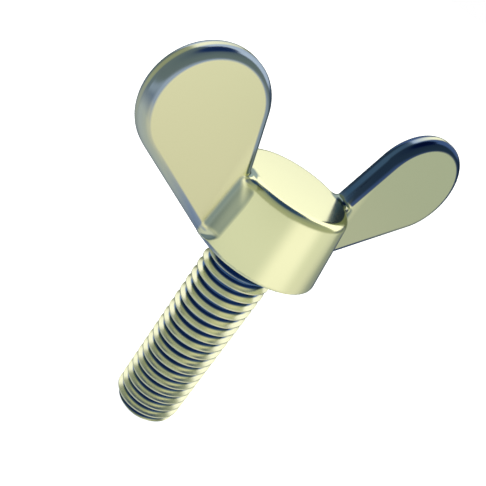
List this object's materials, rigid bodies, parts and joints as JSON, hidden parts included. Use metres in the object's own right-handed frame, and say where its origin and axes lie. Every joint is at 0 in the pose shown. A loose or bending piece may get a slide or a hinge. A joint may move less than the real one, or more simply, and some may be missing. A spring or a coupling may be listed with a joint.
{
  "type": "wing screw",
  "caption": "Wing screw with a tapered hub, two flat rounded wings and a threaded metric stud, for fastening by hand.",
  "frame": {"origin": "centre of the head's bearing face, on the axis of the thread", "axes": "+Z along the thread's axis towards the top of the head, +X along the span of the wings, +Y across their thickness"},
  "size_m": [0.04, 0.015, 0.0431],
  "materials": {
    "wing_head": "die-cast zinc alloy, smooth, with a pale yellow passivated surface",
    "threaded_stud": "cold-formed steel with a rolled thread, zinc plated and pale yellow passivated"
  },
  "bodies": {
    "root": {"wing_head": "wing_head", "threaded_stud": "threaded_stud"}
  },
  "joints": []
}
